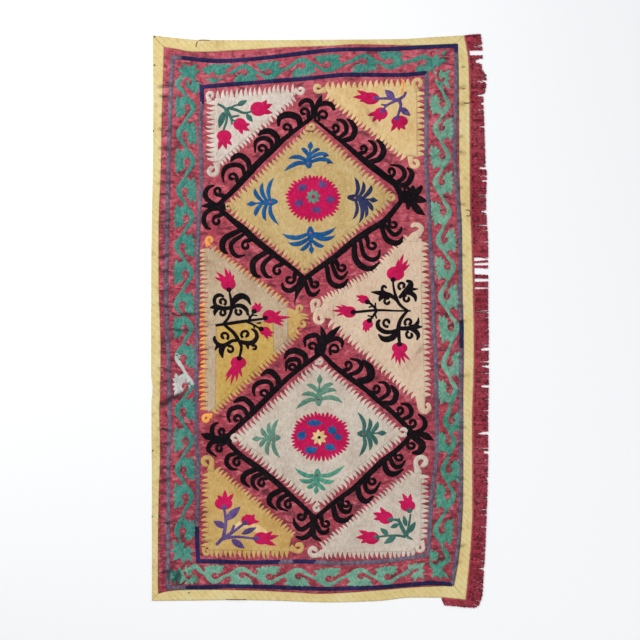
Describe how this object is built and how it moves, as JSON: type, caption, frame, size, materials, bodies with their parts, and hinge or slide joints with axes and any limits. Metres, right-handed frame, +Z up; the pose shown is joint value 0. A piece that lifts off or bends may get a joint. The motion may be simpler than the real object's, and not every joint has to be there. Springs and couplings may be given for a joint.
{
  "type": "suzani embroidered textile",
  "caption": "Long embroidered crimson cloth laid flat, with diamond and flower motifs, a plain straw-coloured border and a yarn fringe down one side.",
  "frame": {"origin": "on the surface that the cloth lies on, under the middle of the whole piece with its fringe", "axes": "+Z up through the embroidered face, +Y along the long sides towards the end that is the top in the picture, +X towards the fringed side"},
  "size_m": [1.3516, 2.3014, 0.0094],
  "materials": {
    "crimson_satin": "satin weave with silk embroidery",
    "straw_cotton": "plain weave, matt",
    "crimson_yarn": "crimped yarn, matt"
  },
  "bodies": {
    "root": {"ground_cloth": "crimson_satin", "border_left": "straw_cotton", "border_right": "straw_cotton", "border_top": "straw_cotton", "border_bottom": "straw_cotton", "fringe": "crimson_yarn"}
  },
  "joints": []
}
